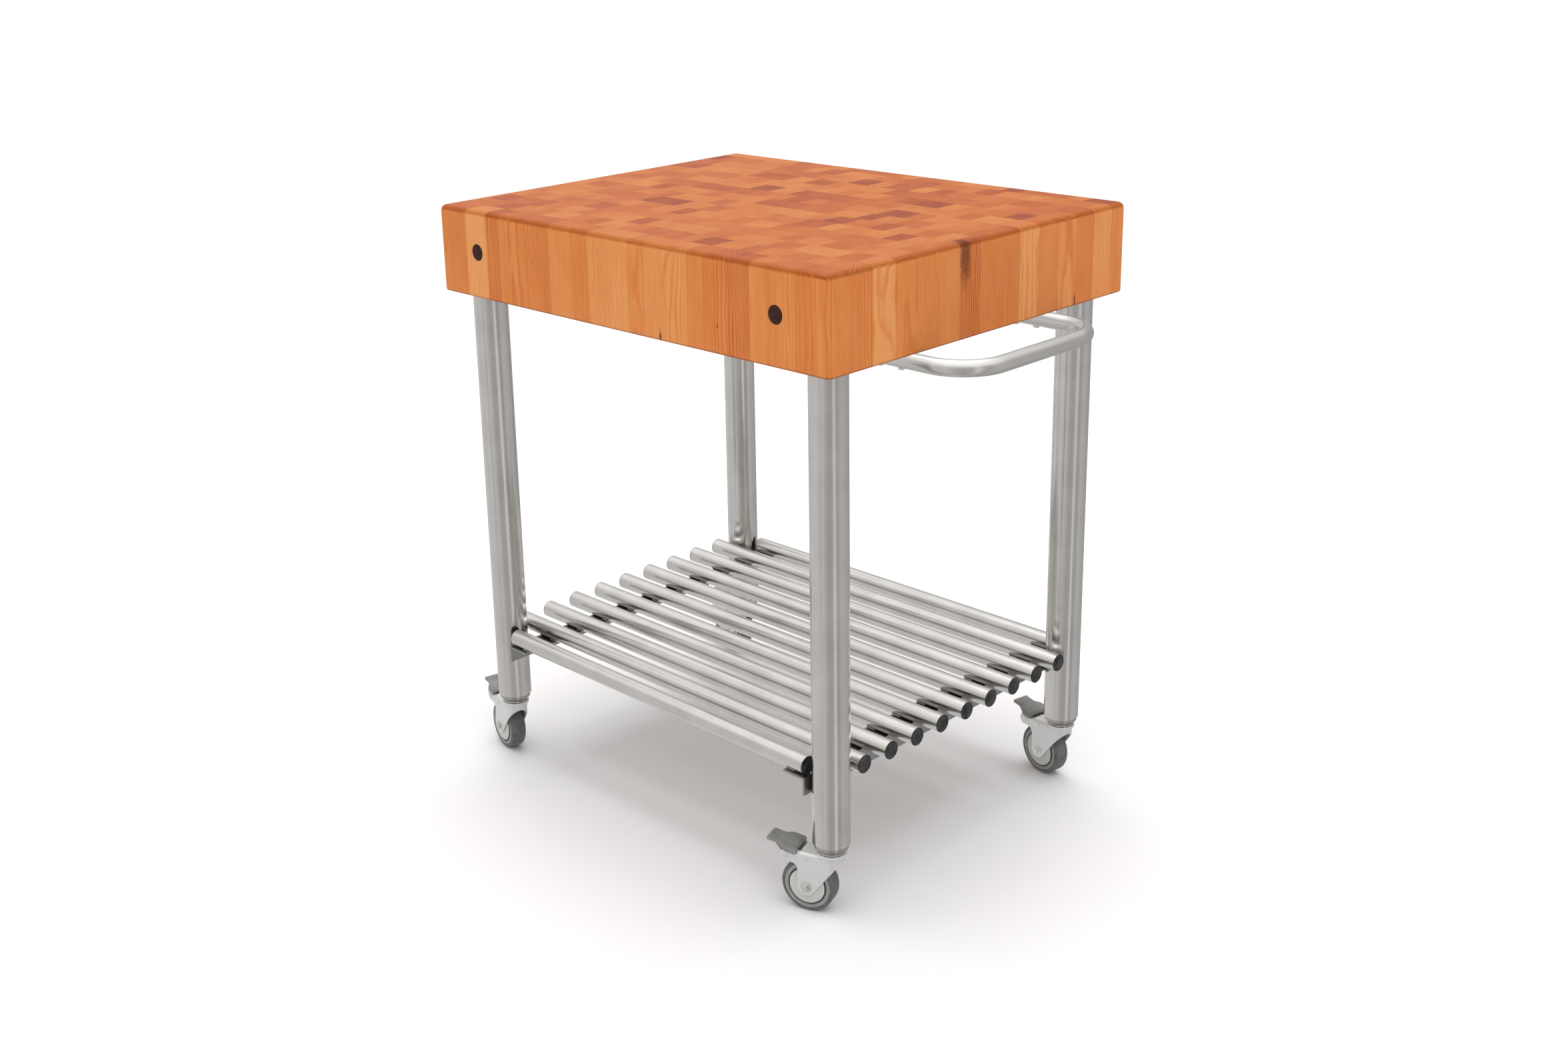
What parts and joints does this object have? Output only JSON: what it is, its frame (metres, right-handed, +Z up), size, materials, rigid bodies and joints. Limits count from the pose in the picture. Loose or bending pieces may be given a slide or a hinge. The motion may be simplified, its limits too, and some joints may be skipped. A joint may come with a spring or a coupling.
{
  "type": "butcher block table",
  "caption": "Thick end-grain wood block on tube legs with swivel brake casters, a tube shelf and a towel bar at one end.",
  "frame": {"origin": "on the floor, under the middle of the whole table's length (towel bar and brake pedals counted) and width", "axes": "+Z up; X along the block's length with the towel bar at the +X end; the front face looks along -Y"},
  "size_m": [0.8977, 0.61, 0.88],
  "materials": {
    "maple": "oiled end grain maple, satin",
    "walnut": "dark oiled walnut, satin",
    "stainless": "brushed along the tube",
    "zinc_steel": "bright zinc plate",
    "zinc_fork": "bright zinc plate, stamped",
    "chrome_steel": "polished",
    "brass": "turned",
    "black_plastic": "moulded, slightly glossy",
    "grey_tread": "smooth grey thermoplastic rubber",
    "grey_plastic": "moulded",
    "white_plastic": "moulded, slightly glossy",
    "pedal_plastic": "moulded, ribbed"
  },
  "bodies": {
    "table": {"butcher_block": "maple", "tie_rods": "zinc_steel", "tie_rod_washers": "zinc_steel", "tie_rod_nuts": "zinc_steel", "rod_hole_plugs": "walnut", "leg_thread_inserts": "brass", "leg_front_left": "stainless", "leg_front_right": "stainless", "leg_back_left": "stainless", "leg_back_right": "stainless", "leg_top_studs": "zinc_steel", "leg_bottom_plugs": "chrome_steel", "shelf_rail_left": "stainless", "shelf_rail_right": "stainless", "shelf_tube_01": "stainless", "shelf_tube_02": "stainless", "shelf_tube_03": "stainless", "shelf_tube_04": "stainless", "shelf_tube_05": "stainless", "shelf_tube_06": "stainless", "shelf_tube_07": "stainless", "shelf_tube_08": "stainless", "shelf_tube_09": "stainless", "shelf_tube_10": "stainless", "shelf_tube_11": "stainless", "shelf_tube_caps": "black_plastic", "towel_bar": "stainless", "towel_bar_screws": "zinc_steel", "caster_stems": "zinc_steel", "swivel_upper_races": "chrome_steel", "swivel_balls": "chrome_steel"},
    "caster_front_left": {"fork_front_left": "zinc_fork", "axle_front_left": "zinc_steel", "rivets_front_left": "zinc_steel"},
    "wheel_front_left": {"tread_front_left": "grey_tread", "core_front_left": "grey_plastic", "covers_front_left": "white_plastic"},
    "pedal_front_left": {"pedal_front_left": "pedal_plastic"},
    "caster_front_right": {"fork_front_right": "zinc_fork", "axle_front_right": "zinc_steel", "rivets_front_right": "zinc_steel"},
    "wheel_front_right": {"tread_front_right": "grey_tread", "core_front_right": "grey_plastic", "covers_front_right": "white_plastic"},
    "pedal_front_right": {"pedal_front_right": "pedal_plastic"},
    "caster_back_left": {"fork_back_left": "zinc_fork", "axle_back_left": "zinc_steel", "rivets_back_left": "zinc_steel"},
    "wheel_back_left": {"tread_back_left": "grey_tread", "core_back_left": "grey_plastic", "covers_back_left": "white_plastic"},
    "pedal_back_left": {"pedal_back_left": "pedal_plastic"},
    "caster_back_right": {"fork_back_right": "zinc_fork", "axle_back_right": "zinc_steel", "rivets_back_right": "zinc_steel"},
    "wheel_back_right": {"tread_back_right": "grey_tread", "core_back_right": "grey_plastic", "covers_back_right": "white_plastic"},
    "pedal_back_right": {"pedal_back_right": "pedal_plastic"}
  },
  "joints": [
    {"name": "swivel_front_left", "type": "hinge", "parent": "table", "child": "caster_front_left", "pos_m": [-0.35969, -0.256, 0.09], "axis": [0, 0, 1], "continuous": true},
    {"name": "wheel_spin_front_left", "type": "hinge", "parent": "caster_front_left", "child": "wheel_front_left", "pos_m": [-0.38941, -0.24914, 0.0375], "axis": [-0.225, -0.9744, 0], "continuous": true},
    {"name": "brake_front_left", "type": "hinge", "parent": "caster_front_left", "child": "pedal_front_left", "pos_m": [-0.41767, -0.24261, 0.079], "axis": [-0.225, -0.9744, 0], "range_deg": [0, 20]},
    {"name": "swivel_front_right", "type": "hinge", "parent": "table", "child": "caster_front_right", "pos_m": [0.31031, -0.256, 0.09], "axis": [0, 0, 1], "continuous": true},
    {"name": "wheel_spin_front_right", "type": "hinge", "parent": "caster_front_right", "child": "wheel_front_right", "pos_m": [0.28165, -0.26643, 0.0375], "axis": [0.342, -0.9397, 0], "continuous": true},
    {"name": "brake_front_right", "type": "hinge", "parent": "caster_front_right", "child": "pedal_front_right", "pos_m": [0.2544, -0.27635, 0.079], "axis": [0.342, -0.9397, 0], "range_deg": [0, 20]},
    {"name": "swivel_back_left", "type": "hinge", "parent": "table", "child": "caster_back_left", "pos_m": [-0.35969, 0.256, 0.09], "axis": [0, 0, 1], "continuous": true},
    {"name": "wheel_spin_back_left", "type": "hinge", "parent": "caster_back_left", "child": "wheel_back_left", "pos_m": [-0.39012, 0.25813, 0.0375], "axis": [-0.0698, -0.9976, 0], "continuous": true},
    {"name": "brake_back_left", "type": "hinge", "parent": "caster_back_left", "child": "pedal_back_left", "pos_m": [-0.41905, 0.26015, 0.079], "axis": [-0.0698, -0.9976, 0], "range_deg": [0, 20]},
    {"name": "swivel_back_right", "type": "hinge", "parent": "table", "child": "caster_back_right", "pos_m": [0.31031, 0.256, 0.09], "axis": [0, 0, 1], "continuous": true},
    {"name": "wheel_spin_back_right", "type": "hinge", "parent": "caster_back_right", "child": "wheel_back_right", "pos_m": [0.28027, 0.2613, 0.0375], "axis": [-0.1736, -0.9848, 0], "continuous": true},
    {"name": "brake_back_right", "type": "hinge", "parent": "caster_back_right", "child": "pedal_back_right", "pos_m": [0.25171, 0.26633, 0.079], "axis": [-0.1736, -0.9848, 0], "range_deg": [0, 20]}
  ]
}
